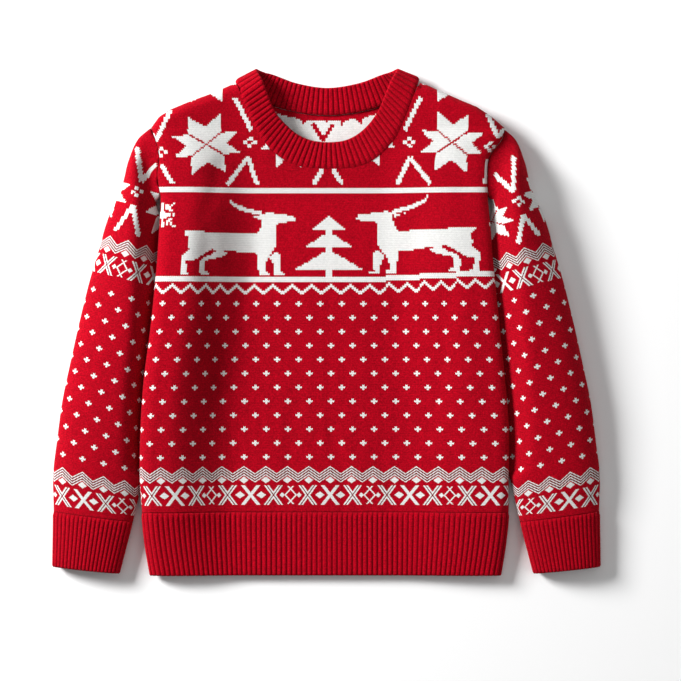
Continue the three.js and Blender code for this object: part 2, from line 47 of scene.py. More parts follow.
camera_data = bpy.data.cameras.new("camera")
camera_data.lens, camera_data.sensor_width = LENS, FILM
camera = bpy.data.objects.new("camera", camera_data)
camera.location = (*MIDDLE_SEEN, WIDTH_SEEN * LENS / FILM)
bpy.context.scene.collection.objects.link(camera)
bpy.context.scene.camera = camera


def add_light(name, place, size, watts):
    data = bpy.data.lights.new(name, "AREA")
    data.shape, data.size, data.energy = "SQUARE", size, watts
    light = bpy.data.objects.new(name, data)
    light.location = place
    light.rotation_euler = (-Vector(place)).to_track_quat("-Z", "Y").to_euler()
    bpy.context.scene.collection.objects.link(light)


add_light("window light", (-2.35, 1.15, 1.35), 1.0, 170)
add_light("overhead fill", (0.1, 0.6, 2.4), 2.4, 10)
add_light("right fill", (2.0, -0.3, 1.6), 1.8, 9)

world = bpy.data.worlds.new("studio")
world.use_nodes = True
world.node_tree.nodes["Background"].inputs["Color"].default_value = (1, 1, 1, 1)
world.node_tree.nodes["Background"].inputs["Strength"].default_value = 0.13
bpy.context.scene.world = world
bpy.context.scene.view_settings.view_transform = "Standard"

bpy.ops.mesh.primitive_plane_add(size=30, location=(0, 0, -0.0003))
floor = bpy.context.object
floor.name = "floor"
paper = bpy.data.materials.new("pale paper")
paper.use_nodes = True
paper.node_tree.nodes["Principled BSDF"].inputs["Base Color"].default_value = (0.98, 0.98, 0.98, 1)
paper.node_tree.nodes["Principled BSDF"].inputs["Roughness"].default_value = 0.8
floor.data.materials.append(paper)

# Front panel. Jacquard knit with two yarns, cut to the armholes, shoulders and scooped neck and seamed to the
# back. It lies face up, with its sides raised over the tucked sleeves.
#
# Sizes are in millimetres on the surface: X across, Y from hem to neck. One stitch is a wale wide and a course tall.
WALE, COURSE = 2.15, 1.735
HEM_TOP, SHOULDER_POINT, UNDERARM = -189.5, 193.5, 126.0
SIDES = {
    "y": (-252.5, -221, -189.5, -157.5, -107.5, -57.5, -7.5, 52.5, 87.5, 122.5, 146.5, 164.5, 182.5, 193.5),
    "left": (-175.5, -180.5, -183.5, -185.5, -184.5, -181, -174.5, -168.5, -166.2, -164.5, -167.5, -165.8, -170, -174.5),
    "right": (173.5, 178.5, 181.5, 181.5, 181.5, 177.5, 172.5, 166.3, 163.5, 160.5, 159.5, 161.9, 174.5, 177.3),
    "left_rise": (6, 10, 16, 20, 26, 29, 30, 28, 26, 22, 18, 14, 10, 7),
    "right_rise": (5, 7, 10, 12, 16, 18, 19, 19, 19, 18, 16, 13, 10, 7),
    "under": (0, 0, 0, 7, 11, 13, 15, 15, 14, 12, 8, 4, 1, 0),
}
FRONT_EDGE = {
    "x": (-174.5, -166.5, -154.5, -136.5, -112.5, -96, -89.5, -84.5, -77.5, -69.5, -58, -42, -23.5, 1, 26, 45,
          59.5, 70.5, 79.5, 86.5, 93, 99.5, 112.5, 132.5, 149.5, 164.5, 177.3),
    "y": (193.5, 204.5, 212, 219.5, 228.5, 236, 238.5, 224.5, 208.5, 191.5, 174.5, 161.5, 154.5, 152.8, 154, 160.5,
          172.5, 186.5, 206, 225, 238.5, 236.5, 230.5, 221.5, 214.5, 204.5, 193.5),
}
BACK_NECK = {"x": (-84.5, -66, -36.5, 1, 38.5, 68, 86.5), "y": (233.5, 221.5, 211, 206.5, 211, 221.5, 235)}


def curve(table, key, column, at):
    xs, ys = np.asarray(table[key], float), np.asarray(table[column], float)
    if xs[0] > xs[-1]:
        xs, ys = xs[::-1], ys[::-1]
    i = np.clip(np.searchsorted(xs, at, side="right") - 1, 0, len(xs) - 2)
    low, high = np.maximum(i - 1, 0), np.minimum(i + 2, len(xs) - 1)
    step = xs[i + 1] - xs[i]
    t = np.clip((at - xs[i]) / step, 0, 1)
    m0 = (ys[i + 1] - ys[low]) / (xs[i + 1] - xs[low]) * step
    m1 = (ys[high] - ys[i]) / (xs[high] - xs[i]) * step
    rise = ys[i + 1] - ys[i]
    return ys[i] + m0 * t + (3 * rise - 2 * m0 - m1) * t**2 + (m0 + m1 - 2 * rise) * t**3


def smooth(low, high, x):
    t = np.clip((x - low) / (high - low), 0, 1)
    return t * t * (3 - 2 * t)


def mix(a, b, t):
    return a + (b - a) * t


def side_edge(side, y):
    return curve(SIDES, "y", side, np.minimum(y, SHOULDER_POINT))


def roll(inside, width):
    return np.sqrt(np.maximum(0, 1 - np.maximum(0, 1 - inside / width) ** 2))


# A sleeve by how far down its outer fold lies below the shoulder point, as in the solids.
SLEEVE = {
    "drop": (0, 11, 31, 61, 91, 121, 151, 191, 231, 271, 311, 345, 382, 437),
    "out": (0, 12.5, 21.5, 29.5, 42.5, 51.5, 60.5, 70.5, 79.5, 88, 93.5, 97.5, 97, 97.8),
    "slope": (80, 69, 59.5, 47.5, 38, 33, 29, 25, 21, 17, 14, 11.5, 7.5, 6),
    "width": (70, 75.5, 87.5, 98, 107, 110, 110, 106, 101, 97, 92, 88, 79.5, 66.5),
    "height": (24, 32, 37, 40, 40, 39, 38, 36, 34, 32, 29, 26, 22, 19),
    "fold": (12, 13, 14, 14, 14, 14, 13.5, 13, 12.5, 12, 11, 10.5, 9.5, 8.5),
}
SHOULDER_OUT, WRIST_DROP, CUFF_DROP, TUCK_ENDS = 174.7, 382.0, 437.0, 350.0
SIDE_ROLL = {"left": 15.0, "right": 13.0}
OUT = {"left": -1, "right": 1}


def inner_folds(side):
    turn = np.radians(SLEEVE["slope"])
    x = OUT[side] * (SHOULDER_OUT + np.array(SLEEVE["out"]) - SLEEVE["width"] * np.cos(turn))
    y = SHOULDER_POINT - np.array(SLEEVE["drop"]) - SLEEVE["width"] * np.sin(turn)
    x[0], y[0] = side_edge(side, UNDERARM), UNDERARM
    return {"x": x, "y": y}


FOLDS = {side: inner_folds(side) for side in OUT}


def back_height(x, y):
    total = 0
    for side, out in OUT.items():
        fold = FOLDS[side]
        level = np.clip(y, fold["y"][-1], fold["y"][0])
        inside = out * (curve(fold, "y", "x", level) - x)
        under = np.maximum(0, curve(SIDES, "y", "under", np.minimum(y, SHOULDER_POINT)))
        total = total + np.where(out * x >= 0, under * (1 - smooth(-6, 34, inside)), 0)
    return total


# Soft creases pressed into the lying front: start, end, depth and half-width of each. A negative depth is a
# ridge. The long ones run from the underarms towards the hem.
CREASES = [
    ((-118, 96), (-104, -96), 1.6, 9), ((8, -96), (18, -192), 1.1, 7), ((-26, -60), (-44, -186), 0.8, 8),
    ((94, 110), (66, -20), 1.2, 11), ((128, 60), (104, -110), 1.2, 9), ((-60, 120), (-84, 10), 0.9, 10),
    ((52, -120), (66, -190), 0.9, 7), ((-96, 170), (-128, 96), 1.0, 8), ((104, 176), (140, 120), 1.1, 9),
    ((30, 20), (36, -70), -0.7, 12), ((-20, 40), (-10, -60), -0.6, 12),
]


def creases(x, y):
    total = 0
    for (x0, y0), (x1, y1), depth, reach in CREASES:
        length = math.hypot(x1 - x0, y1 - y0)
        ux, uy = (x1 - x0) / length, (y1 - y0) / length
        along = ((x - x0) * ux + (y - y0) * uy) / length
        off = (x - x0) * uy - (y - y0) * ux - 2.5 * np.sin(along * 7)
        total = total - depth * np.exp(-((off / reach) ** 2)) * smooth(-0.15, 0.2, along) * (1 - smooth(0.75, 1.15, along))
    return total


def front_height(x, y):
    level = np.minimum(y, SHOULDER_POINT)
    rise = 0
    for side, falls in (("left", (26, 94)), ("right", (26, 112))):
        inside = np.abs(side_edge(side, level) - x)
        rise = rise + curve(SIDES, "y", side + "_rise", level) * (1 - smooth(*falls, inside))
    return 7.6 + 13.5 * smooth(120, 232, y) + rise


def face_height(face, x, y, risen):
    front, back = front_height(x, y), back_height(x, y)
    edge = (front + back) / 2 + (0.15 if face == "front" else -0.15)
    full = front + creases(x, y) if face == "front" else back
    return mix(edge, full, risen)


SHOULDER_LEFT, SHOULDER_RIGHT = side_edge("left", SHOULDER_POINT), side_edge("right", SHOULDER_POINT)


def panel_x(across, y):
    follow_left = (side_edge("left", y) - SHOULDER_LEFT) * (1 - smooth(0, 0.35, across))
    follow_right = (side_edge("right", y) - SHOULDER_RIGHT) * smooth(0.65, 1, across)
    return mix(SHOULDER_LEFT, SHOULDER_RIGHT, across) + follow_left + follow_right


def panel_points(face, across, y, below_edge):
    x = panel_x(across, y)
    at_side = np.minimum(
        roll(x - side_edge("left", y), SIDE_ROLL["left"]), roll(side_edge("right", y) - x, SIDE_ROLL["right"])
    )
    parted = 0.5 * roll(np.maximum(0, np.minimum(y - UNDERARM, SHOULDER_POINT - y)), 9)
    risen = mix(parted, 1, at_side) * roll(below_edge, 11)
    return np.stack([x, y, face_height(face, x, y, risen)], axis=-1)


# The columns of a panel, one for each wale, evenly spaced over its cross-section.
def wale_shares(face):
    fine = 0.5 - 0.5 * np.cos(np.linspace(0, np.pi, 4001))
    points = panel_points(face, fine, np.full_like(fine, -60.0), np.full_like(fine, 99.0))
    length = np.concatenate([[0], np.cumsum(np.linalg.norm(np.diff(points, axis=0), axis=1))])
    centre = np.interp(0.5, fine, length)
    first, last = -int(centre / WALE), int((length[-1] - centre) / WALE)
    wales = np.arange(first, last + 1)
    shares = np.interp(centre + wales * WALE, length, fine)
    shares[0], shares[-1] = 0, 1
    return wales, shares


# The chart says where the off-white yarn shows. Small repeats count stitches. Larger figures are set out in
# millimetres across and down from the upper left corner of the square that the camera sees.
FLOWER = ("..XX..", "..XX..", "XX..XX", "XX..XX", "..XX..", "..XX..")
SEED = (".X.", "XXX", ".X.")
FLAKE = ("X....X....X", ".X.X.X.X.X.", "..XX.X.XX..", ".XX..X..XX.", "....XXX....", "X.XXXXXXX.X",
         "....XXX....", ".XX..X..XX.", "..XX.X.XX..", ".X.X.X.X.X.", "X....X....X")


def stitch_places(points):
    middle = (points[:-1, :-1] + points[1:, :-1] + points[:-1, 1:] + points[1:, 1:]) / 4
    return middle[..., 0] + 326.5, 322.5 - middle[..., 1]


def stroke(u, v, start, end, wide=4.3):
    (x0, y0), (x1, y1) = start, end
    length = math.hypot(x1 - x0, y1 - y0)
    along = ((u - x0) * (x1 - x0) + (v - y0) * (y1 - y0)) / length
    off = ((u - x0) * (y1 - y0) - (v - y0) * (x1 - x0)) / length
    return (along >= 0) & (along <= length) & (np.abs(off) <= wide / 2)


def filled(u, v, corners):
    inside = np.zeros(u.shape, bool)
    for (x0, y0), (x1, y1) in zip(corners, corners[1:] + corners[:1]):
        if y0 != y1:
            inside ^= ((y0 <= v) != (y1 <= v)) & (u < x0 + (v - y0) * (x1 - x0) / (y1 - y0))
    return inside


def star(u, v, centre, half_wide, half_high, tilt=0.0):
    c, s = math.cos(math.radians(tilt)), math.sin(math.radians(tilt))
    du, dv = u - centre[0], v - centre[1]
    a, b = np.abs(du * c + dv * s) / half_wide, np.abs(dv * c - du * s) / half_high
    b = b / 0.79
    side_arms = (b <= 0.46) & (a <= 0.6 + 0.87 * b) & (a - b >= 0.045)
    return side_arms | ((a <= 0.5) & (b <= 0.76 + a) & (b - a >= 0.045))


def stamped(u, v, centre, rows, cell):
    marks = np.array([[mark == "X" for mark in row] for row in rows])
    down = np.floor((v - centre[1]) / cell[1] + marks.shape[0] / 2).astype(int)
    across = np.floor((u - centre[0]) / cell[0] + marks.shape[1] / 2).astype(int)
    fits = (down >= 0) & (down < marks.shape[0]) & (across >= 0) & (across < marks.shape[1])
    return fits & marks[np.clip(down, 0, marks.shape[0] - 1), np.clip(across, 0, marks.shape[1] - 1)]


def seeds(chart, middle, first, count):
    for k in range(count):
        for j in range(1, chart.shape[1] - 1):
            if (j - middle + 5 * (k % 2)) % 10 == 0:
                for r, row in enumerate(SEED):
                    for c, mark in enumerate(row):
                        if mark == "X" and first + 8 * k + r - 1 < chart.shape[0]:
                            chart[first + 8 * k + r - 1, j + c - 1] = 1


# A deer in profile, drawn from the feet up in wales and courses. Facing is 1 to the right and -1 to the left.
DEER = [
    [(4, 17), (5, 27), (36, 26.5), (38, 31), (38.5, 38), (41, 39), (45, 38.5), (53, 37), (54.5, 35), (52, 33.5),
     (46, 33), (44.5, 31), (44.5, 18), (37, 14), (28, 15), (22, 16)],
    [(3, 25), (2.6, 27), (6, 27.6), (12, 27), (8, 22)],
    [(39, 37), (38, 40), (32, 41.5), (25, 45), (23, 48.5), (24, 44), (28, 40.5), (34, 38.5)],
    [(33, 37.4), (38, 36.6), (38, 34.5)],
    [(4.5, 20), (5, 16), (1, 12), (1, 2), (3.5, 2), (3.5, 9), (7, 9.5), (12, 14), (16, 17)],
    [(1, 0.8), (1, 3), (4, 2), (5.5, 0.8)],
    [(22.8, 14.5), (20, 12), (12, 9.4), (12, 3), (9.3, 2), (9.3, 8), (11, 11), (15, 13.2), (18, 16.4)],
    [(10, 0.8), (9.5, 3), (13, 2.6), (14.5, 0.8)],
    [(36, 16), (36.6, 3), (39.4, 3), (40, 9), (44, 17)],
    [(37, 0.8), (37, 3), (41, 2.6), (42, 0.8)],
    [(44.6, 15.5), (42, 11.6), (43.4, 8), (44, 3), (47, 3), (46.4, 14)],
    [(44, 0.8), (44, 3), (48, 2.6), (49.5, 0.8)],
]


def deer(u, v, rump, facing, wale=2.13):
    shown = np.zeros(u.shape, bool)
    for shape in DEER:
        shown |= filled(u, v, [(rump + facing * (x - 4) * wale, 277.2 - y * 1.63) for x, y in shape])
    return shown


def fir(u, v, middle):
    shown = stroke(u, v, (middle, 219), (middle, 279), 6.4)
    for half, top, low, peak in ((17, 217, 230, 0), (25, 235, 248.5, 4), (33.5, 252, 270, 3)):
        shown |= filled(u, v, [(middle - half, low), (middle + half, low), (middle + peak, top), (middle - peak, top)])
    return shown


YOKE_STROKES = [
    ((171.9, 112.8), (157.8, 143.5)), ((157.8, 143.5), (153.8, 136.2)), ((163, 167), (175, 186)),
    ((248.5, 158.6), (228, 186)), ((248.5, 158.6), (257.6, 186)), ((235.7, 100), (252, 132)),
    ((486.5, 116), (496, 139.4)), ((496, 139.4), (503.8, 130.7)), ((487.3, 161), (483.9, 185.3)),
    ((409.5, 159), (397, 185.5)), ((409.5, 159), (430, 185.5)), ((420, 100), (404.5, 132)),
]
YOKE_STARS = [((207.5, 146.5), 33, 29, -5), ((451, 144.5), 31, 29, 3), ((207.7, 76), 32, 29, 0), ((452.7, 76), 32, 29, 0)]
YOKE_FLOWERS = [(163.2, 154.3), (250.7, 143.3), (409.3, 143.3), (488.2, 149)]
NECK_FRONT_STARS = [((289, 139.5), 27, 30, 0), ((364.5, 137.5), 31, 31, 0)]
NECK_FRONT_STROKES = [((323, 170), (314, 185)), ((333, 170), (342.5, 185))]
NECK_BACK_STROKES = [((312.7, 124), (323, 141)), ((333.3, 125), (323, 141))]
NECK_BACK_TIPS = [[(297, 117), (306, 117), (305, 126)], [(339, 117), (347, 117), (342, 127)], [(353, 117), (364, 117), (361, 126)]]


# The chart of a body panel: seeds, a small zigzag and two stripes round deer and fir, then the yoke.
def body_chart(face, points, wales):
    u, v = stitch_places(points)
    chart = np.zeros(points.shape[:2])
    middle = int(np.argmin(np.abs(wales - 1)))
    rows, columns = np.mgrid[0 : chart.shape[0], 0 : chart.shape[1]]
    seeds(chart, middle, 31, 12)
    c = (columns - middle + 4) % 9 - 4
    lift = np.round(3 * smooth(20, 165, points[..., 0]))
    chart[(rows - lift - 129 + np.abs(c) <= 1) & (rows - lift - 129 + np.abs(c) >= 0)] = 1
    chart[(rows - lift >= 132) & (rows - lift <= 134)] = 1
    chart[(rows >= 183) & (rows <= 185)] = 1
    shown = fir(u, v, 328.8) | deer(u, v, 189.3, 1) | deer(u, v + 1 + 3.5 * smooth(350, 490, u), 471.5, -1, 2.3)
    shown |= stamped(u, v, (164.5, 216.5), FLAKE, (2.3, 2.3)) | stamped(u, v, (501, 214), FLAKE, (2.3, 2.3))
    for start, end in YOKE_STROKES + (NECK_FRONT_STROKES if face == "front" else NECK_BACK_STROKES):
        shown |= stroke(u, v, start, end)
    for centre, wide, high, tilt in YOKE_STARS + (NECK_FRONT_STARS if face == "front" else []):
        shown |= star(u, v, centre, wide, high, tilt)
    for centre in YOKE_FLOWERS:
        shown |= stamped(u, v, centre, FLOWER, (2.0, 1.65))
    if face == "back":
        for tip in NECK_BACK_TIPS:
            shown |= filled(u, v, tip)
        shown |= (v < 322.5 - back_top(u - 326.5) + 6.2) & (np.abs(u - 328) < 80)
    chart[:-1, :-1][shown] = 1
    return chart


# Shared looks. The stitch group draws the V of each plain stitch from a map that counts wales and courses: it
# picks the yarn of this stitch or of the one below and gives the height of its two legs.
def new_group(name, inputs, outputs):
    tree = bpy.data.node_groups.new(name, "ShaderNodeTree")
    kinds = {"value": "NodeSocketFloat", "colour": "NodeSocketColor", "vector": "NodeSocketVector"}
    for label, (kind, default) in inputs.items():
        socket = tree.interface.new_socket(name=label, in_out="INPUT", socket_type=kinds[kind])
        if default is not None:
            socket.default_value = default
    for label, kind in outputs.items():
        tree.interface.new_socket(name=label, in_out="OUTPUT", socket_type=kinds[kind])
    return tree, tree.nodes.new("NodeGroupInput").outputs, tree.nodes.new("NodeGroupOutput").inputs


def put(tree, kind, inputs=(), **settings):
    node = tree.nodes.new(kind)
    for key, value in settings.items():
        setattr(node, key, value)
    for socket, value in dict(inputs).items():
        if isinstance(value, bpy.types.NodeSocket):
            tree.links.new(value, node.inputs[socket])
        else:
            node.inputs[socket].default_value = value
    return node


def calc(tree, operation, a, b=0.0, c=0.0):
    return put(tree, "ShaderNodeMath", {0: a, 1: b, 2: c}, operation=operation).outputs[0]


stitch, given, result = new_group(
    "knit stitches",
    {"Stitch Map": ("vector", None), "Yarn": ("value", 0.0), "Yarn Below": ("value", 0.0), "Lean": ("value", 0.95)},
    {"Yarn Mask": "value", "Height": "value", "Groove": "value"},
)
place = put(stitch, "ShaderNodeSeparateXYZ", {0: given["Stitch Map"]}).outputs
from_middle = calc(stitch, "ABSOLUTE", calc(stitch, "SUBTRACT", calc(stitch, "FRACT", place["X"]), 0.5))
course = calc(stitch, "FRACT", place["Y"])
lean = calc(stitch, "MULTIPLY", from_middle, given["Lean"])
is_below = calc(stitch, "LESS_THAN", course, lean)
own = calc(stitch, "MULTIPLY", given["Yarn"], calc(stitch, "SUBTRACT", 1.0, is_below))
stitch.links.new(calc(stitch, "MULTIPLY_ADD", given["Yarn Below"], is_below, own), result["Yarn Mask"])
across_leg = calc(stitch, "MULTIPLY", calc(stitch, "SUBTRACT", from_middle, 0.25), 4.0)
round_leg = calc(stitch, "SUBTRACT", 1.0, calc(stitch, "MULTIPLY", across_leg, across_leg))
along_leg = calc(stitch, "FRACT", calc(stitch, "SUBTRACT", place["Y"], lean))
along_turn = calc(stitch, "SUBTRACT", calc(stitch, "MULTIPLY", along_leg, 2.0), 1.0)
long_leg = calc(stitch, "SUBTRACT", 1.0, calc(stitch, "POWER", calc(stitch, "ABSOLUTE", along_turn), 3.0))
leg = calc(stitch, "MULTIPLY", calc(stitch, "MAXIMUM", round_leg, 0.0), calc(stitch, "MAXIMUM", long_leg, 0.0))
stitch.links.new(calc(stitch, "POWER", leg, 0.5), result["Height"])
# Groove is high in the hollows between the legs, where the yarn group paints shade.
stitch.links.new(calc(stitch, "SUBTRACT", 1.0, calc(stitch, "POWER", leg, 0.35)), result["Groove"])

# Yarn: a heather of slightly darker and paler fibres, a long soft variation and a haze of short hairs. The
# colour is also darkened where Groove is high, as painted shade in the hollows between stitches and ribs.
yarn, given, result = new_group(
    "yarn",
    {"Colour": ("colour", (0.5, 0.01, 0.03, 1)), "Groove": ("value", 0.0), "Groove Shade Depth": ("value", 0.5),
     "Heather": ("value", 0.25), "Wear": ("value", 0.12)},
    {"Colour": "colour", "Roughness": "value", "Fuzz": "value"},
)
where = put(yarn, "ShaderNodeTexCoord").outputs["Object"]
hairs = put(yarn, "ShaderNodeTexNoise", {"Vector": where, "Scale": 1500.0, "Detail": 3.0, "Roughness": 0.7}).outputs["Fac"]
flecks = put(yarn, "ShaderNodeTexNoise", {"Vector": where, "Scale": 620.0, "Detail": 2.0, "Roughness": 0.6}).outputs["Fac"]
patches = put(yarn, "ShaderNodeTexNoise", {"Vector": where, "Scale": 14.0, "Detail": 3.0, "Roughness": 0.55}).outputs["Fac"]
heather = calc(yarn, "MULTIPLY_ADD", calc(yarn, "SUBTRACT", flecks, 0.5), given["Heather"], 1.0)
worn = calc(yarn, "MULTIPLY_ADD", calc(yarn, "SUBTRACT", patches, 0.5), given["Wear"], heather)
# Painted shade: the colour gets darker where Groove is high.
groove_shade = calc(yarn, "SUBTRACT", 1.0, calc(yarn, "MULTIPLY", given["Groove"], given["Groove Shade Depth"]))
tone = calc(yarn, "MULTIPLY", worn, groove_shade)
scaled = put(yarn, "ShaderNodeVectorMath", {0: given["Colour"]}, operation="SCALE")
yarn.links.new(tone, scaled.inputs["Scale"])
yarn.links.new(scaled.outputs[0], result["Colour"])
yarn.links.new(calc(yarn, "MULTIPLY_ADD", patches, 0.1, 0.82), result["Roughness"])
yarn.links.new(hairs, result["Fuzz"])

# The wide band on body, sleeves and wrists: four thin zigzag lines, a diamond under each peak, and a row of bold
# crosses, diamonds, double crosses and lattices. It is drawn in quarter stitches, as its lines are thin. The red
# between the zigzag lines and within the double crosses is also given out, to be darkened as painted shade.
band_lines, given, result = new_group(
    "band lines",
    {"Stitch Map": ("vector", None), "Zigzag Middle": ("value", 0.0), "Cross Middle": ("value", 0.0), "Top": ("value", 26.2)},
    {"Mask": "value", "Gap Shade": "value"},
)


def band_step(operation, a, b=0.0, c=0.0):
    return calc(band_lines, operation, a, b, c)


def part_stitch(socket):
    parts = band_step("FLOOR", band_step("MULTIPLY", socket, 4.0))
    return band_step("MULTIPLY_ADD", parts, 0.25, 0.125)


def from_centre(socket, middle, period):
    turns = band_step("DIVIDE", band_step("SUBTRACT", socket, middle), period)
    return band_step("ABSOLUTE", band_step("SUBTRACT", band_step("FRACT", band_step("ADD", turns, 0.5)), 0.5))


def near_to(socket, centre, reach):
    return band_step("LESS_THAN", band_step("ABSOLUTE", band_step("SUBTRACT", socket, centre)), reach)


def diamond(across, at, half_wide, down, half_high):
    a = band_step("DIVIDE", band_step("ABSOLUTE", band_step("SUBTRACT", across, at)), half_wide)
    return band_step("LESS_THAN", band_step("ADD", a, band_step("DIVIDE", down, half_high)), 1.0)


place = put(band_lines, "ShaderNodeSeparateXYZ", {0: given["Stitch Map"]}).outputs
across = part_stitch(place["X"])
beneath_top = band_step("MULTIPLY", band_step("SUBTRACT", given["Top"], part_stitch(place["Y"])), COURSE)
swing = band_step("MULTIPLY", from_centre(across, given["Zigzag Middle"], 9.93), 2.0)
line = band_step("DIVIDE", band_step("SUBTRACT", beneath_top, band_step("MULTIPLY", swing, 7.3)), 2.65)
line_gap = band_step("ABSOLUTE", band_step("SUBTRACT", band_step("FRACT", band_step("ADD", line, 0.5)), 0.5))
zigzag = band_step("MULTIPLY", band_step("LESS_THAN", line_gap, 0.21), near_to(line, 1.5, 1.75))
under_peak = band_step("ABSOLUTE", band_step("SUBTRACT", beneath_top, 13.3))
u = band_step("MULTIPLY", from_centre(across, given["Cross Middle"], 36.7), 78.9)
v = band_step("ABSOLUTE", band_step("SUBTRACT", beneath_top, 28.2))
bold = near_to(band_step("SUBTRACT", u, band_step("MULTIPLY", v, 0.78)), 0.0, 1.9)
from_double = band_step("ABSOLUTE", band_step("SUBTRACT", u, 22.4))
double_arm = band_step("ABSOLUTE", band_step("SUBTRACT", from_double, band_step("MULTIPLY", v, 0.72)))
crosses = band_step("MULTIPLY", band_step("MAXIMUM", bold, near_to(double_arm, 1.5, 0.9)), band_step("LESS_THAN", v, 9.7))
lattice_wide = band_step("ABSOLUTE", band_step("SUBTRACT", 5.5, band_step("MULTIPLY", v, 0.917)))
lattice_off = band_step("SUBTRACT", band_step("SUBTRACT", 39.45, u), lattice_wide)
lattice = band_step("MULTIPLY", near_to(lattice_off, 0.0, 0.85), band_step("LESS_THAN", v, 8.8))
shown = band_step("MAXIMUM", zigzag, crosses)
for figure in (lattice, diamond(swing, 0.0, 0.42, under_peak, 3.4), diamond(u, 10.3, 4.7, v, 3.5), diamond(u, 31.0, 2.6, v, 2.6)):
    shown = band_step("MAXIMUM", shown, figure)
band_lines.links.new(shown, result["Mask"])
# Painted shade: the red between the zigzag lines and inside the double crosses, to be darkened.
in_zigzag = near_to(line, 1.5, 1.75)
in_double = band_step("MULTIPLY", near_to(double_arm, 0.0, 2.4), band_step("LESS_THAN", v, 9.7))
gap = band_step("SUBTRACT", band_step("MAXIMUM", in_zigzag, in_double), shown)
band_lines.links.new(band_step("MAXIMUM", gap, 0.0), result["Gap Shade"])

RED, OFF_WHITE = (0.49, 0.001, 0.012, 1), (0.93, 0.93, 0.91, 1)


# A knitted surface. Reverse swaps the yarns, as on the inside of a jacquard. Bands lists the zigzag middle, the
# cross middle and the top of each wide band on the stitch map.
def knit_material(name, bands=(), reverse=False, groove_shade_depth=0.5):
    material = bpy.data.materials.new(name)
    material.use_nodes = True
    tree = material.node_tree
    shader = tree.nodes["Principled BSDF"]
    uv = put(tree, "ShaderNodeUVMap", uv_map="stitches").outputs[0]
    own = put(tree, "ShaderNodeAttribute", attribute_name="yarn").outputs["Fac"]
    below = put(tree, "ShaderNodeAttribute", attribute_name="yarn_below").outputs["Fac"]
    knitted = put(tree, "ShaderNodeGroup", node_tree=stitch)
    for label, socket in (("Stitch Map", uv), ("Yarn", own), ("Yarn Below", below)):
        tree.links.new(socket, knitted.inputs[label])
    mask, grooves = knitted.outputs["Yarn Mask"], knitted.outputs["Groove"]
    for zigzag_middle, cross_middle, top in bands:
        drawn = put(tree, "ShaderNodeGroup", node_tree=band_lines)
        tree.links.new(uv, drawn.inputs["Stitch Map"])
        drawn.inputs["Zigzag Middle"].default_value = zigzag_middle
        drawn.inputs["Cross Middle"].default_value = cross_middle
        drawn.inputs["Top"].default_value = top
        mask = calc(tree, "MAXIMUM", mask, drawn.outputs["Mask"])
        # Painted shade: the red gaps of each band darken the colour as the grooves do.
        grooves = calc(tree, "MAXIMUM", grooves, calc(tree, "MULTIPLY", drawn.outputs["Gap Shade"], 1.3))
    if reverse:
        mask = calc(tree, "SUBTRACT", 1.0, mask)
    colours = put(tree, "ShaderNodeMix", data_type="RGBA")
    tree.links.new(mask, colours.inputs[0])
    for socket, colour in ((6, RED), (7, OFF_WHITE)):
        colours.inputs[socket].default_value = colour
    surface = put(tree, "ShaderNodeGroup", node_tree=yarn)
    tree.links.new(colours.outputs[2], surface.inputs["Colour"])
    # Painted shade: the colour is darkened in the grooves, by the groove shade depth.
    tree.links.new(grooves, surface.inputs["Groove"])
    tree.links.new(calc(tree, "MULTIPLY_ADD", mask, -1.2, 1.6), surface.inputs["Heather"])
    surface.inputs["Groove Shade Depth"].default_value = groove_shade_depth
    height = calc(tree, "MULTIPLY_ADD", surface.outputs["Fuzz"], 0.22, knitted.outputs["Height"])
    bump = put(tree, "ShaderNodeBump", {"Height": height, "Strength": 0.9, "Distance": 0.00055})
    tree.links.new(surface.outputs["Colour"], shader.inputs["Base Color"])
    tree.links.new(surface.outputs["Roughness"], shader.inputs["Roughness"])
    tree.links.new(bump.outputs[0], shader.inputs["Normal"])
    shader.inputs["Sheen Weight"].default_value = 0.05
    shader.inputs["Sheen Roughness"].default_value = 0.5
    shader.inputs["Sheen Tint"].default_value = (1.0, 0.4, 0.4, 1)
    shader.inputs["Specular IOR Level"].default_value = 0.03
    return material


# A piece of cloth from a grid of points in millimetres, one face for each stitch where keep is true. Wales and
# courses number the grid lines. The sheet gets its thickness on the side away from its outer face.
def knit_cloth(name, points, wales, courses, keep, chart, materials, thickness, outward=True):
    rows, columns = points.shape[:2]
    used = np.zeros((rows, columns), bool)
    for a, b in ((0, 0), (0, 1), (1, 0), (1, 1)):
        used[a : rows - 1 + a, b : columns - 1 + b] |= keep
    number = np.cumsum(used).reshape(used.shape) - 1
    corners = [number[:-1, :-1][keep], number[:-1, 1:][keep], number[1:, 1:][keep], number[1:, :-1][keep]]
    faces = np.stack(corners if outward else corners[::-1], axis=1)
    mesh = bpy.data.meshes.new(name)
    mesh.from_pydata((points[used] / 1000).tolist(), [], faces.tolist())
    place = np.stack([np.broadcast_to(wales, (rows, columns))[used], courses[used]], axis=1)
    layer = mesh.uv_layers.new(name="stitches")
    loops = np.zeros(len(mesh.loops), np.int32)
    mesh.loops.foreach_get("vertex_index", loops)
    layer.data.foreach_set("uv", place[loops].astype(np.float32).ravel())
    below = np.vstack([chart[:1], chart[:-1]])
    for label, values in (("yarn", chart), ("yarn_below", below)):
        attribute = mesh.attributes.new(label, "FLOAT", "FACE")
        attribute.data.foreach_set("value", values[: rows - 1, : columns - 1][keep].astype(np.float32))
    mesh.shade_smooth()
    piece = bpy.data.objects.new(name, mesh)
    bpy.context.scene.collection.objects.link(piece)
    for material in materials:
        mesh.materials.append(material)
    thick = piece.modifiers.new("thickness", "SOLIDIFY")
    thick.thickness, thick.offset, thick.use_rim = thickness / 1000, -1, True
    thick.material_offset = len(materials) - 1
    return piece


def finish_piece(piece, node):
    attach(piece, "root")
    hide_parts(node)


